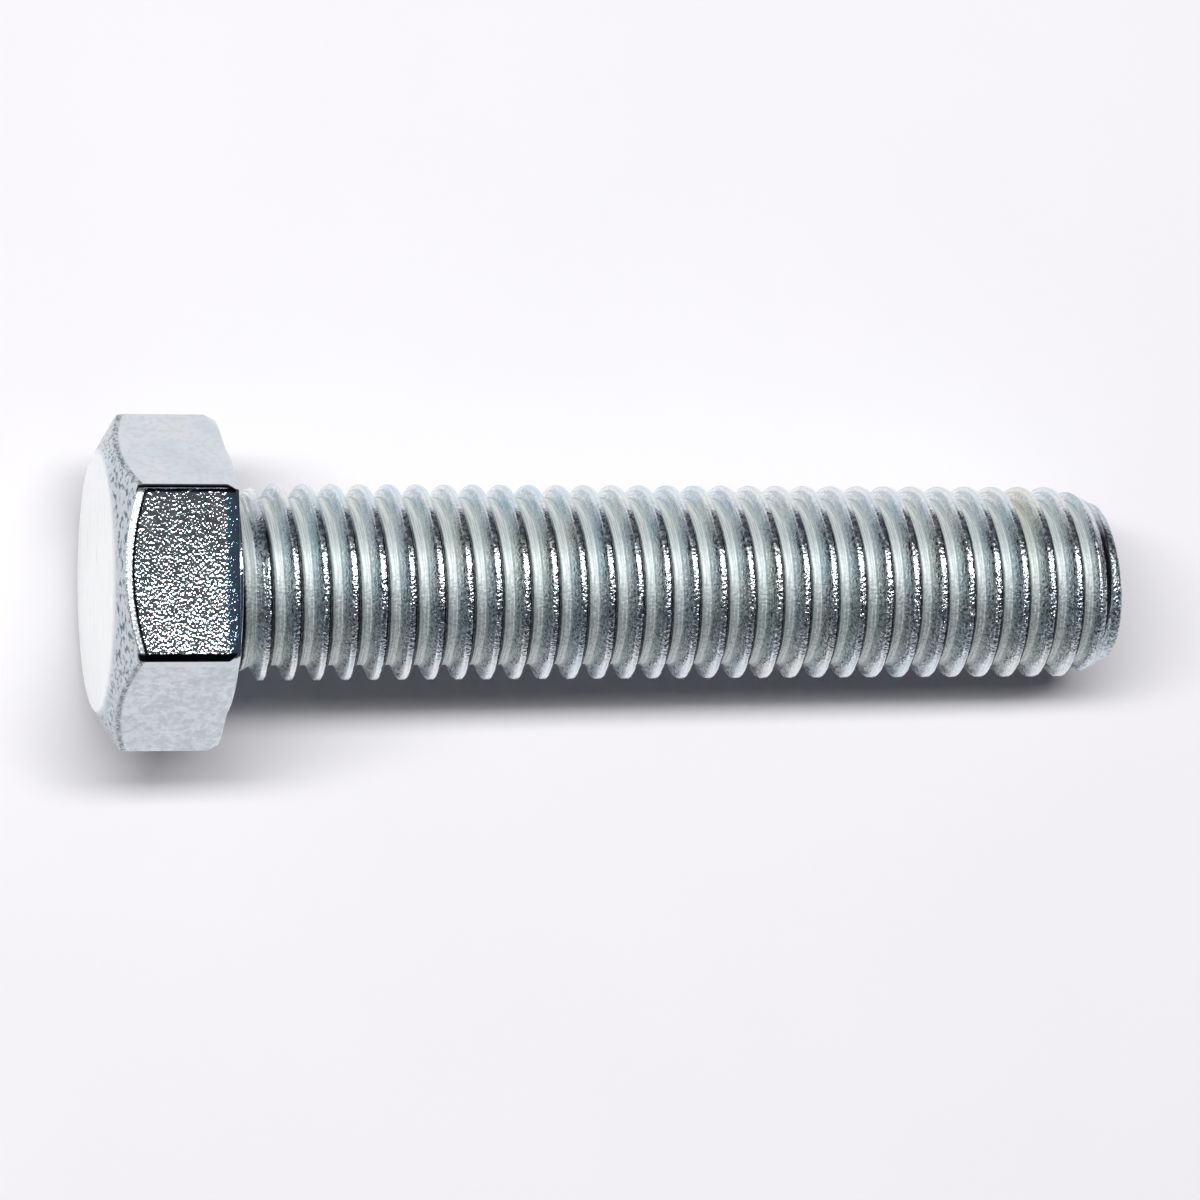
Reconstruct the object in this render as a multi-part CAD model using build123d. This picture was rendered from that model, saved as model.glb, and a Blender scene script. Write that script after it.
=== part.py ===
from build123d import *
import math
import os

# Hex head bolt, M12 x 1.75 x 55, threaded up to the head, zinc-plated steel. Millimetres.
# The bolt lies along X: the head is at -X and the threaded shank runs to +X.
# The origin is the centre of the bearing face, the flat ring under the head.
# Two of the head's flats face +Z and -Z, and two of its corners point to +Y and -Y.
# The bolt is one forging. Each region of it is a closed solid that meets its neighbours
# face to face: the hexagon, the washer face, the neck and the threaded shank.

# Right-handed thread
PITCH = 1.75
CREST_DIAMETER = 11.9
THREAD_DEPTH = 1.04
CREST_WIDTH = 0.24
FLANK_ANGLE = 30.0  # each flank from the plane across the bolt
FIRST_CREST = 3.156  # bearing face to the first whole crest, on the +Y side

# Shank
BOLT_LENGTH = 55.97  # bearing face to tip
NECK_DIAMETER = 10.8
NECK_LENGTH = 1.1
UNDER_HEAD_RADIUS = 0.6
RUN_OUT_ANGLE = 30.0  # the first turn grows out of the neck at this angle
POINT_ANGLE = 24.0  # the last turns taper at this angle
TIP_DIAMETER = 9.6
TIP_EDGE_CHAMFER = 0.25

# Head
ACROSS_FLATS = 17.65
HEAD_HEIGHT = 7.7  # bearing face to the top of the head
TOP_FACE_DIAMETER = 15.2
TOP_CHAMFER_ANGLE = 30.0
SIDE_EDGE_RADIUS = 0.25
WASHER_FACE_DIAMETER = 16.4
WASHER_FACE_HEIGHT = 0.28
LOWER_CHAMFER_WIDTH = 0.35  # radially, at the hexagon's corners
LOWER_CHAMFER_HEIGHT = 0.7

# The ridge's solid reaches this far under the root, so that it joins the core all the way round
RIDGE_OVERLAP = 0.15
TURNS_PER_SECTION = 2
TRIM_MARGIN = 1.0  # the cones that trim a solid reach this far beyond it

CREST_RADIUS = CREST_DIAMETER / 2
ROOT_RADIUS = CREST_RADIUS - THREAD_DEPTH
NECK_RADIUS = NECK_DIAMETER / 2
CORNER_RADIUS = ACROSS_FLATS / 2 / math.cos(math.radians(30))
OUTSIDE = CREST_RADIUS + TRIM_MARGIN

# Local z runs along the bolt and local x points to +Y
ALONG_BOLT = Plane(origin=(0, 0, 0), x_dir=(0, 1, 0), z_dir=(1, 0, 0))


def rise(run, angle):
    """How far a line at this angle, in degrees, rises over a run."""
    return run * math.tan(math.radians(angle))


def turned(*outline):
    """A solid of revolution about X. The outline's (x, radius) points start and end on the axis."""
    return revolve(make_face(Polyline(*outline, close=True)), Axis.X, 360)


def hex_head():
    """The hexagon: its corners are cut by a 30 degree cone at the top and a small cone below."""
    prism = extrude(RegularPolygon(CORNER_RADIUS, 6), HEAD_HEIGHT - WASHER_FACE_HEIGHT)
    prism = fillet(prism.edges().filter_by(Axis.Z), SIDE_EDGE_RADIUS)
    prism = Pos(-HEAD_HEIGHT, 0, 0) * ALONG_BOLT.location * prism
    top_radius = TOP_FACE_DIAMETER / 2
    outer = CORNER_RADIUS + TRIM_MARGIN
    bottom = -WASHER_FACE_HEIGHT
    cones = turned(
        (-HEAD_HEIGHT, 0),
        (-HEAD_HEIGHT, top_radius),
        (-HEAD_HEIGHT + rise(outer - top_radius, TOP_CHAMFER_ANGLE), outer),
        (bottom - LOWER_CHAMFER_HEIGHT * (1 + TRIM_MARGIN / LOWER_CHAMFER_WIDTH), outer),
        (bottom, CORNER_RADIUS - LOWER_CHAMFER_WIDTH),
        (bottom, 0),
    )
    return prism & cones


def washer_face():
    """The raised ring under the hexagon, whose flat side is the bearing face."""
    ring = Circle(WASHER_FACE_DIAMETER / 2) - Circle(NECK_RADIUS + UNDER_HEAD_RADIUS)
    return Pos(-WASHER_FACE_HEIGHT, 0, 0) * ALONG_BOLT.location * extrude(ring, WASHER_FACE_HEIGHT)


def neck():
    """The plain stretch between the head and the thread, with its fillet under the head."""
    flange = NECK_RADIUS + UNDER_HEAD_RADIUS
    centre = (UNDER_HEAD_RADIUS, flange)
    outline = (
        Polyline((0, flange), (-WASHER_FACE_HEIGHT, flange), (-WASHER_FACE_HEIGHT, 0),
                 (NECK_LENGTH, 0), (NECK_LENGTH, NECK_RADIUS), (UNDER_HEAD_RADIUS, NECK_RADIUS))
        + CenterArc(centre, UNDER_HEAD_RADIUS, 180, 90)
    )
    return revolve(make_face(outline), Axis.X, 360)


def thread_ridge(start, turns):
    """A right-handed 60 degree ridge that winds along local z, starting on the local x side."""
    half_base = CREST_WIDTH / 2 + rise(THREAD_DEPTH + RIDGE_OVERLAP, FLANK_ANGLE)
    inner = ROOT_RADIUS - RIDGE_OVERLAP
    profile = [
        (inner, -half_base),
        (CREST_RADIUS, -CREST_WIDTH / 2),
        (CREST_RADIUS, CREST_WIDTH / 2),
        (inner, half_base),
    ]
    section = TURNS_PER_SECTION * PITCH
    first = [Edge.make_helix(PITCH, section, radius, (0, 0, start + z)) for radius, z in profile]
    faces = []
    for k in range(turns // TURNS_PER_SECTION):
        helices = [helix.moved(Location((0, 0, k * section))) for helix in first]
        faces += [Face.make_surface_from_curves(helices[i - 1], helices[i]) for i in range(4)]
    faces.append(Face(Wire.make_polygon([helix @ 0 for helix in first])))
    faces.append(Face(Wire.make_polygon([helix @ 1 for helix in helices])))
    return Solid(Shell(faces))


def threaded_shank():
    """The rolled thread on its core. Cones form the run-out at the neck and the point at the tip."""
    start = FIRST_CREST - 2 * PITCH
    tip_radius = TIP_DIAMETER / 2
    edge_radius = tip_radius + TIP_EDGE_CHAMFER
    edge_x = BOLT_LENGTH - TIP_EDGE_CHAMFER
    turns = TURNS_PER_SECTION * math.ceil((BOLT_LENGTH + PITCH - start) / PITCH / TURNS_PER_SECTION)
    core = Pos(0, 0, -PITCH) * extrude(Circle(ROOT_RADIUS), BOLT_LENGTH + 3 * PITCH)
    thread = ALONG_BOLT.location * (core + thread_ridge(start, turns))
    cones = turned(
        (NECK_LENGTH, 0),
        (NECK_LENGTH, NECK_RADIUS),
        (NECK_LENGTH + rise(OUTSIDE - NECK_RADIUS, 90 - RUN_OUT_ANGLE), OUTSIDE),
        (edge_x - rise(OUTSIDE - edge_radius, 90 - POINT_ANGLE), OUTSIDE),
        (edge_x, edge_radius),
        (BOLT_LENGTH, tip_radius),
        (BOLT_LENGTH, 0),
    )
    return thread & cones


NODES = {
    "hex_head": hex_head,
    "washer_face": washer_face,
    "neck": neck,
    "threaded_shank": threaded_shank,
}

os.makedirs("parts", exist_ok=True)
for name, make in NODES.items():
    part = make()
    part.label = name
    export_step(part, f"parts/{name}.step")
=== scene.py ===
import math

import bpy
from mathutils import Matrix, Vector


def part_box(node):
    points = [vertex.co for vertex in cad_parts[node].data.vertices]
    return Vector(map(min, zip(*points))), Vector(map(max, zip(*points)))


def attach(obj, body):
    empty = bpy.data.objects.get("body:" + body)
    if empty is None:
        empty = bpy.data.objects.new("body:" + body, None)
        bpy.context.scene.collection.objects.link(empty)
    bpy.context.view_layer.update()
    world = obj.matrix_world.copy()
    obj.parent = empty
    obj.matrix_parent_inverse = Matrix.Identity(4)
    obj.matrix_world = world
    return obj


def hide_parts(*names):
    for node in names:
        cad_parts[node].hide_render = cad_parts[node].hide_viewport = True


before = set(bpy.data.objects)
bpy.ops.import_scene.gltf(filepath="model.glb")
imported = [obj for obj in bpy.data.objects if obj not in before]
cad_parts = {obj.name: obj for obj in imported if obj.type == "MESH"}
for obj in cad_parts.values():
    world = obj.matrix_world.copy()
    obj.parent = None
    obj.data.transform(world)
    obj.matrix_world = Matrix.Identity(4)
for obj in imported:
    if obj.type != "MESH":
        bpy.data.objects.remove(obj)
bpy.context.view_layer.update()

# The looks of a zinc-plated hex bolt, around its CAD frame. The bolt lies along X with its
# bearing face at x = 0, the head at -X and the tip at +X. Blender units are metres; the
# shapes below are worked out in millimetres and scaled by MM when a mesh is made.
MM = 0.001

# ---- Dimensions in millimetres, read from the CAD nodes


def box_mm(node):
    """Lowest and highest corner of a CAD node, in millimetres."""
    low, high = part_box(node)
    return low / MM, high / MM


HEX_LOW, HEX_HIGH = box_mm("hex_head")
HEAD_TOP = HEX_LOW.x
HEX_BOTTOM = HEX_HIGH.x
HALF_FLATS = HEX_HIGH.z
HALF_CORNERS = HEX_HIGH.y
WASHER_RADIUS = box_mm("washer_face")[1].z
FLANGE_RADIUS = box_mm("neck")[1].z  # where the under-head fillet meets the bearing face
NECK_END = box_mm("neck")[1].x
CREST_RADIUS = box_mm("threaded_shank")[1].z
TIP = box_mm("threaded_shank")[1].x

# ---- Dimensions in millimetres that the CAD frame holds too, and that the boxes don't give

PITCH = 1.75
THREAD_DEPTH = 1.04
FIRST_CREST = 3.156
NECK_RADIUS = 5.4
TOP_FACE_RADIUS = 7.6
TIP_RADIUS = 4.8
TIP_EDGE_CHAMFER = 0.25
POINT_SLOPE = math.tan(math.radians(24))
RUN_OUT_SLOPE = math.tan(math.radians(30))
TOP_CHAMFER_SLOPE = math.tan(math.radians(30))

# ---- Edges, rounding and wear of the visual model, in millimetres

SIDE_EDGE_RADIUS = 0.25
BRUISED_EDGE_RADIUS = 0.55  # the edge between the +Z flat and the next one towards -Y
BRUISED_EDGE = 2
FLAT_DISH = 0.05  # each flat is this much lower in the middle
TOP_RIM_ROUNDING = 0.4
STRIP_LENGTH = 0.42  # a smooth burnished strip on each flat, beside the top chamfer
STRIP_DEPTH = 0.07
STRIP_ROUNDING = 0.6
CHAMFER_ROUNDING = 0.06
CORNER_SHARE = 0.55  # how far out from the flats' radius to the corners' a corner begins
END_LEAN = 0.075  # the cropped end leans towards -X by this much per mm towards +Y
# The break along the hexagon's lower edge: its size on the flats and at the corners
LOWER_BREAK_HEIGHT = (0.14, 0.7)
LOWER_BREAK_WIDTH = (0.07, 0.35)
LOWER_EDGE_ROUNDING = 0.12
ROLL_OFF_LENGTH = 0.8  # where the trimming die drew the flats down, along the lower edge
ROLL_OFF_DEPTH = 0.12
ROLL_OFF_ROUNDING = (1.25, 0.05)  # on the flats, and at the corners
WASHER_EDGE_ROUNDING = 0.1
CREST_HALF_WIDTH = 0.175  # where the flanks' lines meet the crest's
CREST_ROUNDING = {"tip side": 0.06, "head side": 0.22}
ROOT_FILL = 0.12  # the rolled root is flatter and shallower than the sharp form
ROOT_ROUNDING = 0.1
FLANK_ANGLE = 27.0
RUN_OUT_ROUNDING = 0.1
POINT_ROUNDING = 0.12
TIP_EDGE_ROUNDING = 0.2
GROOVE_FROM, GROOVE_TO = -0.3, 0.8  # past the neck's end, the groove deepens over this stretch
SEAT_DEPTH = 0.4  # how far the shank's mesh reaches into the head's
SEAT_GAP = 0.005

# ---- How finely the meshes are divided

HEAD_STEPS = [48, 10, 3, 20, 4, 3, 4, 3, 8, 3, 4]  # for each stretch of the head's outline
FLAT_END = 0.003  # a flat's outermost points are this share of it from its rounded edges
SHANK_COLUMNS = 144
PROFILE_STEPS = [1, 5, 5, 5, 2]  # for each stretch from a crest to the next root's middle
LATTICE_START = 0.1  # the winding grid starts this far before the neck's end
LATTICE_STOP = 0.3  # and stops this far before the tip


# ---- Mesh helpers


def make_piece(name, points_mm, faces, material, nodes):
    """A smooth mesh piece from points in millimetres. It rides on the body and stands for CAD nodes."""
    mesh = bpy.data.meshes.new(name)
    mesh.from_pydata([tuple(c * MM for c in p) for p in points_mm], [], faces)
    mesh.validate()
    mesh.polygons.foreach_set("use_smooth", [True] * len(mesh.polygons))
    mesh.materials.append(material)
    piece = bpy.data.objects.new(name, mesh)
    bpy.context.scene.collection.objects.link(piece)
    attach(piece, "root")
    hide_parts(*nodes)
    return piece


def smoothstep(low, high, value):
    """0 below low, 1 above high, and a smooth rise between them."""
    t = min(max((value - low) / (high - low), 0.0), 1.0)
    return t * t * (3.0 - 2.0 * t)


def between(ends, share):
    """The value that lies this share of the way from the first end to the second."""
    return ends[0] + (ends[1] - ends[0]) * share


def smooth_min(a, b, width):
    """The smaller of two heights, with the crease between them rounded over this width."""
    h = max(width - abs(a - b), 0.0) / width
    return min(a, b) - h * h * width / 4.0


def rounded_outline(corners, steps, arc_steps=6):
    """Points along a line of (x, radius, rounding) corners, with an arc at each rounded corner.
    steps has the number of divisions of each straight stretch."""
    points = []
    for i, (x, r, rounding) in enumerate(corners):
        here = Vector((x, r))
        if not rounding:
            arc = [here]
        else:
            back = (Vector(corners[i - 1][:2]) - here).normalized()
            ahead = (Vector(corners[i + 1][:2]) - here).normalized()
            half = back.angle(ahead) / 2
            centre = here + (back + ahead).normalized() * (rounding / math.sin(half))
            start = here + back * (rounding / math.tan(half)) - centre
            sweep = start.angle_signed(here + ahead * (rounding / math.tan(half)) - centre)
            turns = [Matrix.Rotation(-sweep * k / arc_steps, 2) for k in range(arc_steps + 1)]
            arc = [centre + turn @ start for turn in turns]
        if points:
            last = points[-1]
            points += [last.lerp(arc[0], k / steps[i - 1]) for k in range(1, steps[i - 1])]
        points += arc
    return points


def grid_faces(columns, rows):
    """Quads of a tube whose points are stored column by column. They face outwards."""
    faces = []
    for j in range(columns):
        here, there = j * rows, (j + 1) % columns * rows
        faces += [(here + i, there + i, there + i + 1, here + i + 1) for i in range(rows - 1)]
    return faces


def seam_faces(left, right):
    """Triangles that fill the gap between two neighbouring lines of points, of any lengths."""
    faces = [(left[0], a, b) for a, b in zip(right, right[1:])]
    return faces + [(left[k], right[-1], left[k + 1]) for k in range(len(left) - 1)]


# ---- The head


def hexagon_points(flat_steps=26, edge_steps=6):
    """(y, z) points round the hexagon, with flats at +Z and -Z and rounded side edges."""
    arcs = []
    for side in range(6):
        rounding = BRUISED_EDGE_RADIUS if side == BRUISED_EDGE else SIDE_EDGE_RADIUS
        corner = math.radians(60 * side)
        reach = (HALF_FLATS - rounding) / math.cos(math.radians(30))
        centre = Vector((math.cos(corner), math.sin(corner))) * reach
        turns = [corner + math.radians(60 * k / edge_steps - 30) for k in range(edge_steps + 1)]
        arcs.append([centre + Vector((math.cos(t), math.sin(t))) * rounding for t in turns])
    points = []
    for side in range(6):
        first, last = arcs[side][-1], arcs[(side + 1) % 6][0]
        points += arcs[side]
        middle = (first + last).normalized()
        inner = [k / flat_steps for k in range(1, flat_steps)]
        for t in [FLAT_END, *inner, 1 - FLAT_END]:
            points.append(first.lerp(last, t) - middle * FLAT_DISH * 4 * t * (1 - t))
    return points


def head_outline(radius):
    """The head's outline through one direction, from the top centre round to the seat's centre."""
    corner = smoothstep(between((HALF_FLATS, HALF_CORNERS), CORNER_SHARE), HALF_CORNERS, radius)
    drop = between(LOWER_BREAK_HEIGHT, corner)
    inset = between(LOWER_BREAK_WIDTH, corner)
    rolled = ROLL_OFF_DEPTH * (1 - drop / ROLL_OFF_LENGTH)
    chamfer_end = HEAD_TOP + (radius - STRIP_DEPTH - TOP_FACE_RADIUS) * TOP_CHAMFER_SLOPE
    corners = [
        (HEAD_TOP, 0.0, 0),
        (HEAD_TOP, TOP_FACE_RADIUS, TOP_RIM_ROUNDING),
        (chamfer_end, radius - STRIP_DEPTH, CHAMFER_ROUNDING),
        (chamfer_end + STRIP_LENGTH, radius, STRIP_ROUNDING),
        (HEX_BOTTOM - ROLL_OFF_LENGTH, radius, between(ROLL_OFF_ROUNDING, corner)),
        (HEX_BOTTOM - drop, radius - rolled, LOWER_EDGE_ROUNDING / 2),
        (HEX_BOTTOM, radius - rolled - inset, LOWER_EDGE_ROUNDING / 2),
        (HEX_BOTTOM, WASHER_RADIUS, 0),
        (0.0, WASHER_RADIUS, WASHER_EDGE_ROUNDING),
        (0.0, FLANGE_RADIUS, 0),
        (-SEAT_DEPTH, FLANGE_RADIUS, 0),
        (-SEAT_DEPTH, 0.0, 0),
    ]
    return rounded_outline(corners, HEAD_STEPS)


def make_head(material):
    """A closed mesh of outlines that turn round the hexagon, with a fan at each end."""
    columns = hexagon_points()
    points, rows = [], 0
    for edge in columns:
        outline = head_outline(edge.length)
        way = edge.normalized()
        rows = len(outline) - 2
        points += [(x, way.x * r, way.y * r) for x, r in outline[1:-1]]
    faces = grid_faces(len(columns), rows)
    top, seat = len(points), len(points) + 1
    points += [(HEAD_TOP, 0, 0), (-SEAT_DEPTH, 0, 0)]
    for j in range(len(columns)):
        here, there = j * rows, (j + 1) % len(columns) * rows
        faces.append((top, there, here))
        faces.append((seat, here + rows - 1, there + rows - 1))
    nodes = ["hex_head", "washer_face"]
    return make_piece("bolt_head", points, faces, material, nodes)


# ---- The threaded shank


def profile_bends(rounding):
    """Distances from the crest where one side's profile changes: the crest's arc, the flank and
    the root's arc, each from its start to its end."""
    turn = math.radians(90 - FLANK_ANGLE)
    depth = THREAD_DEPTH - ROOT_FILL
    foot = CREST_HALF_WIDTH + depth * math.tan(math.radians(FLANK_ANGLE))
    crest_from = CREST_HALF_WIDTH - rounding * math.tan(turn / 2)
    root_to = foot + ROOT_ROUNDING * math.tan(turn / 2)
    crest_to = crest_from + rounding * math.sin(turn)
    root_from = root_to - ROOT_ROUNDING * math.sin(turn)
    return crest_from, crest_to, root_from, root_to


def thread_height(along):
    """How far the rolled thread's surface lies below its crest, at a distance along from the crest."""
    offset = (along / PITCH + 0.5) % 1.0 - 0.5
    u = abs(offset) * PITCH
    rounding = CREST_ROUNDING["tip side" if offset > 0 else "head side"]
    crest_from, crest_to, root_from, root_to = profile_bends(rounding)
    depth = THREAD_DEPTH - ROOT_FILL
    if u < crest_from:
        return 0.0
    if u < crest_to:
        return rounding - math.sqrt(rounding**2 - (u - crest_from) ** 2)
    if u < root_from:
        return (u - CREST_HALF_WIDTH) / math.tan(math.radians(FLANK_ANGLE))
    if u < root_to:
        return depth - ROOT_ROUNDING + math.sqrt(ROOT_ROUNDING**2 - (root_to - u) ** 2)
    return depth


def end_at(turn, radius=TIP_RADIUS):
    """Where the leaning end face lies along the bolt, in one direction and at one radius."""
    return TIP - END_LEAN * (TIP_RADIUS + radius * math.cos(turn))


def shank_radius(x, turn):
    """The shank's radius at x, in the direction turn radians round from +Y towards +Z."""
    thread = CREST_RADIUS - thread_height(x - FIRST_CREST - PITCH * turn / math.tau)
    groove = smoothstep(NECK_END + GROOVE_FROM, NECK_END + GROOVE_TO, x)
    if thread < NECK_RADIUS:
        thread = NECK_RADIUS + (thread - NECK_RADIUS) * groove
    run_out = NECK_RADIUS + max(x - NECK_END, 0.0) * RUN_OUT_SLOPE
    point = TIP_RADIUS + TIP_EDGE_CHAMFER + (end_at(turn) - TIP_EDGE_CHAMFER - x) * POINT_SLOPE
    return smooth_min(smooth_min(thread, run_out, RUN_OUT_ROUNDING), point, POINT_ROUNDING)


def half_pitch(rounding):
    """Distances from a crest to the middle of the root beside it, closer together on the arcs."""
    stops = [0.0, *profile_bends(rounding), PITCH / 2]
    samples = []
    for low, high, count in zip(stops, stops[1:], PROFILE_STEPS):
        samples += [low + (high - low) * k / count for k in range(count)]
    return samples


def pitch_samples():
    """Distances along one pitch, from the crest to the next one towards the tip."""
    after, before = (half_pitch(CREST_ROUNDING[side]) for side in ("tip side", "head side"))
    return after + [PITCH / 2] + [PITCH - u for u in reversed(before[1:])]


def neck_rings(steps=7):
    """(x, radius) of the straight rings at the head's end: the seat and the under-head fillet."""
    rings = [(-SEAT_DEPTH, FLANGE_RADIUS - SEAT_GAP), (0.0, FLANGE_RADIUS - SEAT_GAP)]
    fillet = FLANGE_RADIUS - NECK_RADIUS
    for k in range(1, steps + 1):
        turn = math.radians(90 * k / steps)
        rings.append((fillet - fillet * math.cos(turn), FLANGE_RADIUS - fillet * math.sin(turn)))
    return rings


def tip_rings(steps=5):
    """(x from the end, radius) of the straight rings that round the tip's edge."""
    rings = []
    for k in range(1, steps + 1):
        turn = math.radians(90 * k / steps)
        x = TIP_EDGE_ROUNDING * math.sin(turn) - TIP_EDGE_ROUNDING
        rings.append((x, TIP_RADIUS + TIP_EDGE_ROUNDING * math.cos(turn)))
    return rings


def make_shank(material):
    """A closed mesh whose grid winds with the thread, between straight rings at both ends."""
    columns = SHANK_COLUMNS
    samples = pitch_samples()
    per_turn = len(samples)
    lattice_from = NECK_END - LATTICE_START
    ring_in, ring_out = neck_rings(), tip_rings()
    face_rings = [TIP_RADIUS * k / 12 for k in range(11, 0, -1)]

    points, lattice, heads, tails = [], [], [], []
    for j in range(columns):
        turn = math.tau * j / columns
        way = (math.cos(turn), math.sin(turn))

        def add(x, r):
            points.append((x, way[0] * r, way[1] * r))
            return len(points) - 1

        heads.append([add(x, r) for x, r in ring_in])
        lattice_to = end_at(turn) - LATTICE_STOP
        offset = FIRST_CREST + PITCH * turn / math.tau
        column = {}
        first_turn = math.floor((lattice_from - offset) / PITCH) - 1
        last_turn = math.ceil((lattice_to - offset) / PITCH) + 1
        for k in range(first_turn, last_turn + 1):
            for s, u in enumerate(samples):
                x = offset + k * PITCH + u
                if lattice_from < x < lattice_to:
                    column[k * per_turn + s] = add(x, shank_radius(x, turn))
        lattice.append(column)
        edge = [add(end_at(turn) + x, r) for x, r in ring_out]
        tails.append(edge + [add(end_at(turn, r), r) for r in face_rings])
    faces = []
    for j in range(columns):
        after = (j + 1) % columns
        shift = per_turn if after == 0 else 0
        here = lattice[j]
        there = {m - shift: v for m, v in lattice[after].items()}
        shared = sorted(set(here) & set(there))
        for m in shared[:-1]:
            faces.append((here[m], there[m], there[m + 1], here[m + 1]))
        # Either line may reach further than the other: the thread climbs, and the end leans.
        low = [[c[m] for m in sorted(c, reverse=True) if m <= shared[0]] for c in (here, there)]
        high = [[c[m] for m in sorted(c) if m >= shared[-1]] for c in (here, there)]
        low_seam = seam_faces(low[0] + [heads[j][-1]], low[1] + [heads[after][-1]])
        faces += [face[::-1] for face in low_seam]
        faces += seam_faces(high[0] + [tails[j][0]], high[1] + [tails[after][0]])
        for ends in (heads, tails):
            a, b = ends[j], ends[after]
            faces += [(a[i], b[i], b[i + 1], a[i + 1]) for i in range(len(a) - 1)]
    back, front = len(points), len(points) + 1
    points += [(-SEAT_DEPTH, 0, 0), (end_at(0, 0), 0, 0)]
    for j in range(columns):
        after = (j + 1) % columns
        faces.append((back, heads[after][0], heads[j][0]))
        faces.append((front, tails[j][-1], tails[after][-1]))
    nodes = ["neck", "threaded_shank"]
    return make_piece("bolt_shank", points, faces, material, nodes)


# ---- Materials

SHADED_BEYOND = -5.5  # the head is darkened with mottled painted shade on the -Y side of this place across it, in millimetres


class Nodes:
    """A material's node tree, with short calls to add and join nodes."""

    def __init__(self, name):
        self.material = bpy.data.materials.new(name)
        self.material.use_nodes = True
        self.tree = self.material.node_tree
        self.shader = self.tree.nodes["Principled BSDF"]

    def add(self, kind, **inputs):
        node = self.tree.nodes.new(kind)
        for key, value in inputs.items():
            self.put(node.inputs[key.replace("_", " ")], value)
        return node

    def put(self, socket, value):
        if isinstance(value, bpy.types.NodeSocket):
            self.tree.links.new(value, socket)
        else:
            socket.default_value = value

    def noise(self, scale, detail=2.0, roughness=0.5, at=None):
        node = self.add("ShaderNodeTexNoise", Scale=scale, Detail=detail, Roughness=roughness)
        self.put(node.inputs["Vector"], at or self.place())
        return node.outputs["Fac"]

    def place(self):
        return self.add("ShaderNodeTexCoord").outputs["Object"]

    def stretched(self, x, y, z):
        """Object coordinates, multiplied along each axis."""
        node = self.add("ShaderNodeMapping", Vector=self.place())
        node.inputs["Scale"].default_value = (x, y, z)
        return node.outputs["Vector"]

    def math(self, kind, *values):
        node = self.add("ShaderNodeMath")
        node.operation = kind
        for socket, value in zip(node.inputs, values):
            self.put(socket, value)
        return node.outputs["Value"]

    def axis(self, name):
        """One of the object's coordinates, in metres."""
        return self.add("ShaderNodeSeparateXYZ", Vector=self.place()).outputs[name]

    def sum_of_squares(self, *names):
        """Two coordinates, squared and added."""
        squares = [self.math("POWER", self.math("ABSOLUTE", self.axis(name)), 2.0) for name in names]
        return self.math("ADD", *squares)

    def place_on_thread(self, phase, across, along):
        """Coordinates whose noise is drawn out along the thread: dense across it, sparse along it."""
        node = self.add("ShaderNodeCombineXYZ", X=self.math("MULTIPLY", phase, across))
        for name in ("Y", "Z"):
            self.put(node.inputs[name], self.math("MULTIPLY", self.axis(name), along))
        return node.outputs["Vector"]

    def thread_phase(self):
        """Place along the thread's pitch: 0 and 1 in a root, and 0.5 on the crest between them."""
        turns = self.math("DIVIDE", self.math("ARCTAN2", self.axis("Z"), self.axis("Y")), math.tau)
        pitches = self.math("DIVIDE", self.axis("X"), PITCH * MM)
        along = self.math("SUBTRACT", pitches, turns)
        return self.math("FRACT", self.math("SUBTRACT", along, FIRST_CREST / PITCH - 0.5))

    def ramp(self, value, *stops):
        """A colour ramp through (position, colour) stops, where a colour may be one grey number."""
        node = self.add("ShaderNodeValToRGB", Fac=value)
        elements = node.color_ramp.elements
        for i, (position, colour) in enumerate(stops):
            element = elements[i] if i < 2 else elements.new(position)
            element.position = position
            element.color = (*colour, 1) if isinstance(colour, tuple) else (colour, colour, colour, 1)
        return node.outputs["Color"]

    def mix(self, factor, a, b, blend="MIX"):
        node = self.add("ShaderNodeMix")
        node.data_type, node.blend_type = "RGBA", blend
        for socket, value in zip([node.inputs[0], node.inputs[6], node.inputs[7]], [factor, a, b]):
            self.put(socket, (*value, 1) if isinstance(value, tuple) else value)
        return node.outputs[2]

    def bump(self, height, strength, distance, normal=None):
        node = self.add("ShaderNodeBump", Height=height, Strength=strength, Distance=distance)
        if normal:
            self.put(node.inputs["Normal"], normal)
        return node.outputs["Normal"]


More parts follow.
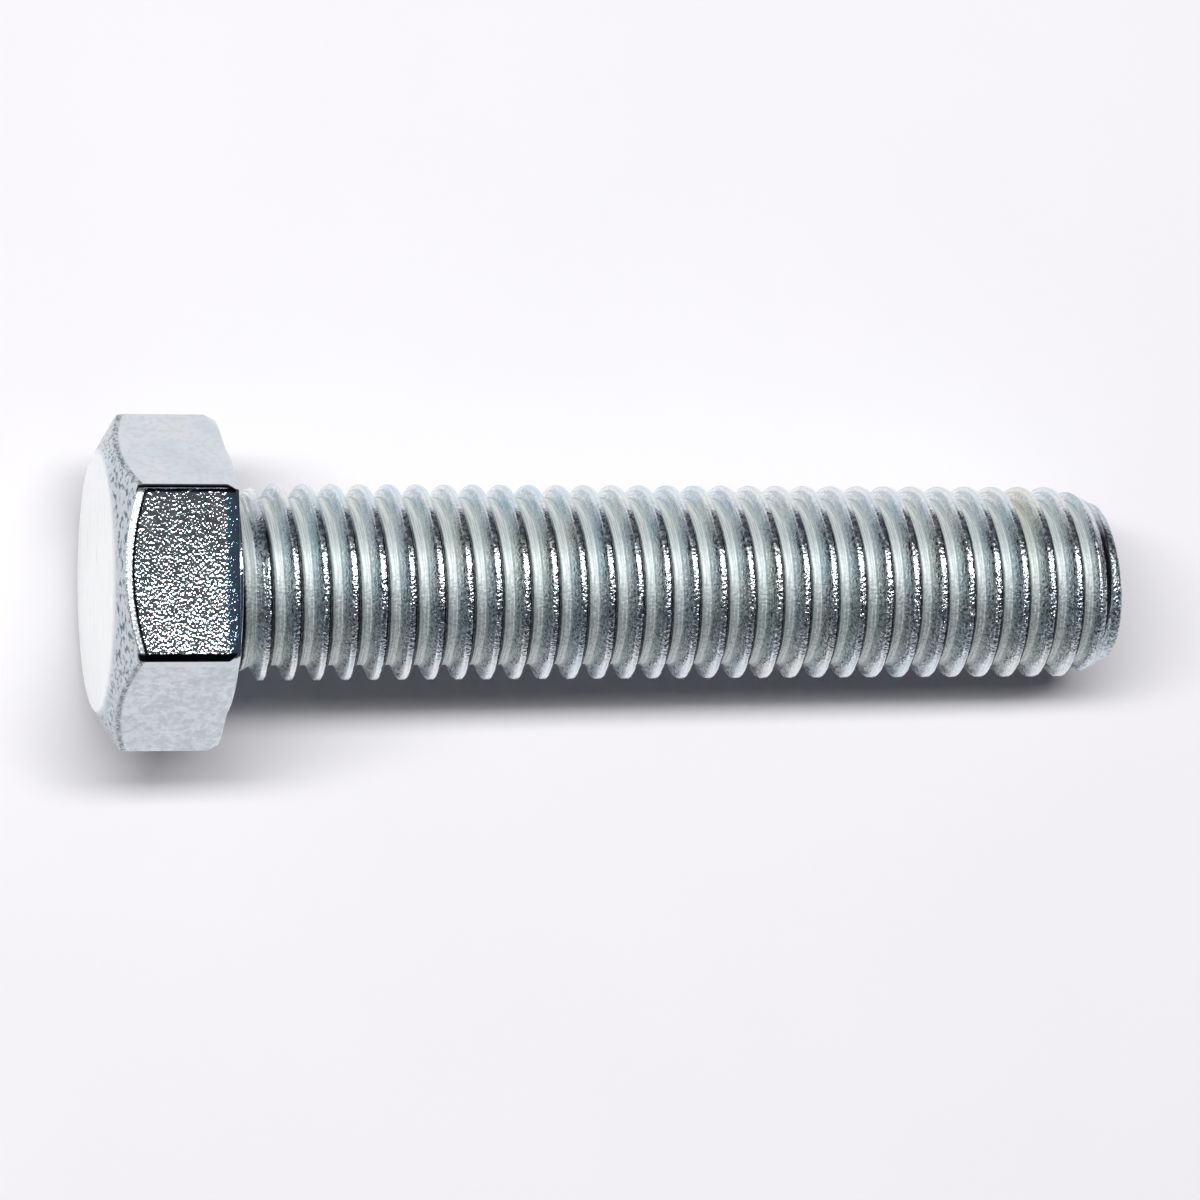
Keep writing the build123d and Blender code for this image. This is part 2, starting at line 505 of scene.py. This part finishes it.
def zinc_head():
    """Zinc on the forged head: a crystal grain whose facets flash or stay dark. The top face is
    paler and duller, the chamfer carries fine dark dashes, a dotted grey line runs along the
    chamfer's foot, and on the +Z flat the strip that the trimming die drew down is painted a darker
    blue as shade, with near-black painted shade in that flat's creases and along its side edges. The
    -Y side carries mottled painted shade."""
    m = Nodes("zinc_head")
    from_top = m.math("DIVIDE", m.math("SUBTRACT", m.axis("X"), HEAD_TOP * MM), MM)
    out = m.math("DIVIDE", m.math("SQRT", m.sum_of_squares("Y", "Z")), MM)
    foot_at_axis = -(STRIP_DEPTH + TOP_FACE_RADIUS) * TOP_CHAMFER_SLOPE
    past_chamfer = m.math("SUBTRACT", from_top, m.math("MULTIPLY_ADD", out, TOP_CHAMFER_SLOPE, foot_at_axis))
    on_face = m.ramp(from_top, (0.06, 1.0), (0.16, 0.0))
    below_face = m.ramp(from_top, (0.16, 0.0), (0.28, 1.0))
    on_chamfer = m.math("MULTIPLY", m.ramp(past_chamfer, (0.05, 1.0), (0.08, 0.0)), below_face)
    on_strip = m.ramp(past_chamfer, (0.06, 0.0), (0.09, 1.0), (0.3, 1.0), (STRIP_LENGTH, 0.0))
    # A ramp ends at 1, so the whole head is measured in centimetres here
    roll_off = (HEX_BOTTOM - ROLL_OFF_LENGTH - HEAD_TOP) / 10
    on_roll_off = m.ramp(m.math("DIVIDE", from_top, 10.0), (roll_off - 0.01, 0.0), (roll_off + 0.005, 1.0))
    lowest = HALF_FLATS - ROLL_OFF_DEPTH - FLAT_DISH - 0.05
    on_top_flat = m.math("GREATER_THAN", m.axis("Z"), lowest * MM)

    cloud = m.noise(300.0, 3.0)
    tint = m.ramp(cloud, (0.35, (0.62, 0.68, 0.72)), (0.5, (0.68, 0.73, 0.76)), (0.68, (0.72, 0.74, 0.74)))
    # Painted shade: on the +Z flat only, the rolled-off strip along the lower edge is painted a darker blue
    tint = m.mix(m.math("MULTIPLY", on_roll_off, on_top_flat), tint, (0.44, 0.66, 0.86))
    mottle = m.noise(2600.0, 2.0, 0.6)
    tint = m.mix(m.ramp(mottle, (0.38, 0.35), (0.52, 0.0)), tint, (0.50, 0.55, 0.58))

    tint = m.mix(on_chamfer, tint, (0.93, 0.95, 0.96), "MULTIPLY")
    dashes = m.ramp(m.noise(1.0, 2.0, 0.6, m.stretched(7000.0, 1800.0, 3200.0)), (0.52, 0.0), (0.62, 1.0))
    tint = m.mix(m.math("MULTIPLY", dashes, on_chamfer), tint, (0.18, 0.22, 0.25))
    dots = m.ramp(m.noise(5500.0, 1.0, 0.5), (0.42, 0.2), (0.55, 0.9))
    tint = m.mix(m.math("MULTIPLY", dots, on_strip), tint, (0.16, 0.18, 0.2))

    # Painted shade on the +Z flat: near-black lines in the creases at the chamfer's foot and past the strip,
    # and dark lines along both side edges
    foot = [(0.055, 0.0), (0.075, 1.0), (0.13, 0.0)]
    rise, fall = STRIP_LENGTH - 0.1, STRIP_LENGTH + 0.14
    past_strip = [(rise, 0.0), (STRIP_LENGTH - 0.02, 1.0), (STRIP_LENGTH + 0.08, 1.0), (fall, 0.0)]
    painted_crease_shade = m.ramp(past_chamfer, *foot, *past_strip)
    tint = m.mix(m.math("MULTIPLY", painted_crease_shade, on_top_flat), tint, (0.004, 0.005, 0.006))
    from_middle = m.math("MULTIPLY", m.math("ABSOLUTE", m.axis("Y")), 100.0)
    painted_edge_shade = m.ramp(from_middle, (0.465, 0.0), (0.478, 1.0))
    tint = m.mix(m.math("MULTIPLY", painted_edge_shade, on_top_flat), tint, (0.02, 0.024, 0.03))

    # Painted shade: mottled darker patches on the -Y side, which faces away from the lamp
    shade_patches = m.ramp(m.noise(1700.0, 3.0, 0.7), (0.42, 0.6), (0.56, 0.0))
    on_shaded_side = m.math("LESS_THAN", m.axis("Y"), SHADED_BEYOND * MM)
    tint = m.mix(m.math("MULTIPLY", shade_patches, on_shaded_side), tint, (0.46, 0.50, 0.53))
    strokes = m.noise(1.0, 1.0, 0.5, m.stretched(200.0, 500.0, 4000.0))
    pale = m.ramp(strokes, (0.3, (0.86, 0.90, 0.88)), (0.45, (0.98, 1.0, 0.99)))
    m.put(m.shader.inputs["Base Color"], m.mix(on_face, tint, pale))
    m.shader.inputs["Metallic"].default_value = 1.0

    satin = m.ramp(m.noise(1500.0, 2.0), (0.3, 0.05), (0.7, 0.1))
    satin = m.mix(on_strip, satin, (0.3, 0.3, 0.3))
    satin = m.mix(on_chamfer, satin, (0.3, 0.3, 0.3))
    m.put(m.shader.inputs["Roughness"], m.mix(on_face, satin, (0.45, 0.45, 0.45)))
    grain = m.noise(1.0, 1.0, 0.5, m.stretched(8400.0, 5600.0, 5600.0))
    m.put(m.shader.inputs["Normal"], m.bump(grain, 1.0, 0.000016))
    return m.material


def zinc_thread():
    """Zinc on the rolled thread. The crests are burnished, the roots are duller, streaked along the thread
    and painted paler as a highlight, a near-black band of painted shade follows the crest on the side that
    faces the tip, and the grain is coarser, with its dark specks painted heavier as shade, on the -Y side
    and towards the tip, where a straw stain shows."""
    m = Nodes("zinc_thread")
    along = m.math("DIVIDE", m.axis("X"), TIP * MM)
    on_point = m.ramp(along, (1 - 1.2 / TIP, 0.0), (1 - 1.0 / TIP, 1.0))
    phase = m.mix(on_point, m.thread_phase(), (0.36, 0.36, 0.36))
    cloud = m.noise(260.0, 3.0)
    tint = m.ramp(cloud, (0.35, (0.68, 0.80, 0.86)), (0.5, (0.80, 0.87, 0.90)), (0.65, (0.86, 0.88, 0.86)))
    in_root = m.ramp(phase, (0.12, 1.0), (0.2, 0.0), (0.72, 0.0), (0.8, 1.0))
    # Painted highlight: the roots are painted a paler green-white than the rest of the thread
    tint = m.mix(in_root, tint, (0.92, 0.96, 0.93))
    across = m.math("MULTIPLY_ADD", m.axis("Y"), 80.0, 0.5)  # 0 at the -Y side and 1 at the +Y side
    stained_turns = m.ramp(along, (0.86, 0.0), (0.89, 1.0), (0.915, 0.0))
    stain = m.math("MULTIPLY", stained_turns, m.ramp(across, (0.3, 0.1), (0.8, 0.6)))
    stain = m.math("MULTIPLY", stain, m.ramp(cloud, (0.35, 0.2), (0.6, 1.0)))
    tint = m.mix(stain, tint, (0.80, 0.74, 0.55))
    streaks = m.noise(1.0, 2.0, 0.6, m.place_on_thread(phase, 16.0, 300.0))
    tint = m.mix(m.ramp(streaks, (0.4, 0.6), (0.56, 0.0)), tint, (0.40, 0.46, 0.48))
    grain = m.noise(6000.0, 1.0, 0.5)
    # The grain's bump and dark specks are heavier on the -Y side and towards the tip; the specks' darkness
    # there is painted shade, where the grain reflects the dim room
    coarse_grain_and_shade = m.ramp(across, (0.06, 0.1), (0.2, 0.8), (0.38, 0.8), (0.58, 0.3), (0.85, 0.06))
    coarse_grain_and_shade = m.math("MULTIPLY", coarse_grain_and_shade, m.ramp(along, (0.5, 0.85), (0.95, 1.0)))
    coarse_grain_and_shade = m.math("MULTIPLY", coarse_grain_and_shade, m.math("MULTIPLY_ADD", in_root, -0.6, 1.0))
    specks = m.ramp(m.noise(5200.0, 2.0, 0.6), (0.42, 1.0), (0.52, 0.0))
    tint = m.mix(m.math("MULTIPLY", specks, coarse_grain_and_shade), tint, (0.12, 0.16, 0.18))
    # Painted shade: a near-black band over most of the flank that faces the tip, beside each crest, fading
    # out towards the +Y side
    wander = m.math("MULTIPLY_ADD", m.noise(1200.0, 2.0), 0.08, -0.04)
    line = m.ramp(m.math("ADD", phase, wander), (0.555, 0.0), (0.58, 1.0), (0.73, 1.0), (0.8, 0.0))
    line = m.math("MULTIPLY", line, m.ramp(across, (0.7, 1.0), (0.85, 0.0)))
    tint = m.mix(line, tint, (0.012, 0.015, 0.02))
    m.put(m.shader.inputs["Base Color"], tint)
    m.shader.inputs["Metallic"].default_value = 1.0
    head_side = [(0.14, 0.68), (0.2, 0.48), (0.38, 0.42), (0.45, 0.3)]
    tip_side = [(0.56, 0.3), (0.6, 0.5), (0.8, 0.68)]
    rough = m.ramp(phase, *head_side, *tip_side)
    glints = m.ramp(m.noise(4200.0, 1.0, 0.5), (0.45, 0.5), (0.55, 1.0))
    glints = m.mix(in_root, glints, (1.0, 1.0, 1.0))
    m.put(m.shader.inputs["Roughness"], m.mix(1.0, rough, glints, "MULTIPLY"))
    relief = m.math("MULTIPLY_ADD", streaks, 0.5, grain)
    m.put(m.shader.inputs["Normal"], m.bump(relief, coarse_grain_and_shade, 0.00017))
    return m.material


# ---- Stage


def make_floor(half_side=1200.0, sink=0.02):
    """A pale floor, tilted so that the bolt rests on the head's lower edge and on the last crests.
    It lies a little below them, so that nothing is cut."""
    head_foot = Vector((HEX_BOTTOM - 0.2, 0, -HALF_FLATS))
    thread_foot = Vector((TIP - 2.2, 0, -CREST_RADIUS))
    along = (thread_foot - head_foot).normalized() * half_side
    across = Vector((0, half_side, 0))
    up = Vector((-along.z, 0, along.x)).normalized()
    middle = (head_foot + thread_foot) / 2 - up * sink
    signs = ((-1, -1), (1, -1), (1, 1), (-1, 1))
    corners = [middle + along * a + across * b for a, b in signs]
    mesh = bpy.data.meshes.new("floor")
    mesh.from_pydata([tuple(c * MM) for c in corners], [], [(0, 1, 2, 3)])
    m = Nodes("floor_paper")
    paper = m.ramp(m.noise(60.0), (0.3, (0.885, 0.865, 0.89)), (0.7, (0.895, 0.875, 0.895)))
    m.put(m.shader.inputs["Base Color"], paper)
    m.shader.inputs["Roughness"].default_value = 0.9
    m.shader.inputs["Specular IOR Level"].default_value = 0.1
    mesh.materials.append(m.material)
    floor = bpy.data.objects.new("floor", mesh)
    bpy.context.scene.collection.objects.link(floor)


def make_soft_box(name, low, high, power):
    """A lamp that faces straight down, between two corners of a level rectangle in metres."""
    lamp = bpy.data.lights.new(name, "AREA")
    lamp.shape = "RECTANGLE"
    lamp.size, lamp.size_y = high[0] - low[0], high[1] - low[1]
    lamp.energy = power
    light = bpy.data.objects.new(name, lamp)
    bpy.context.scene.collection.objects.link(light)
    light.location = [(a + b) / 2 for a, b in zip(low, high)]


def make_room(strength, colour):
    """The even light from all round."""
    world = bpy.data.worlds.new("room")
    bpy.context.scene.world = world
    world.use_nodes = True
    shade = world.node_tree.nodes["Background"]
    shade.inputs["Color"].default_value = (*colour, 1)
    shade.inputs["Strength"].default_value = strength


def make_camera():
    """A long lens that looks down at the bolt, a little from the head's side and from -Y."""
    camera = bpy.data.objects.new("camera", bpy.data.cameras.new("camera"))
    bpy.context.scene.collection.objects.link(camera)
    camera.data.lens = 147.39
    camera.data.sensor_width = 36
    camera.data.clip_start, camera.data.clip_end = 0.01, 10
    right = Vector((0.97129, -0.01563, 0.23739)).normalized()
    back = Vector((-0.2379, -0.05804, 0.96955)).normalized()
    up = back.cross(right).normalized()
    right = up.cross(back)
    place = Matrix((right, up, back)).transposed().to_4x4()
    place.translation = (-0.04833, -0.01863, 0.29271)
    camera.matrix_world = place
    bpy.context.scene.camera = camera


make_camera()
make_head(zinc_head())
make_shank(zinc_thread())
make_floor()
make_soft_box("key", (-1.1, 0.165, 1.0), (0.37, 0.34, 1.0), 15.7)
make_room(0.08, (0.80, 0.85, 1.0))
bpy.context.scene.view_settings.view_transform = "Standard"
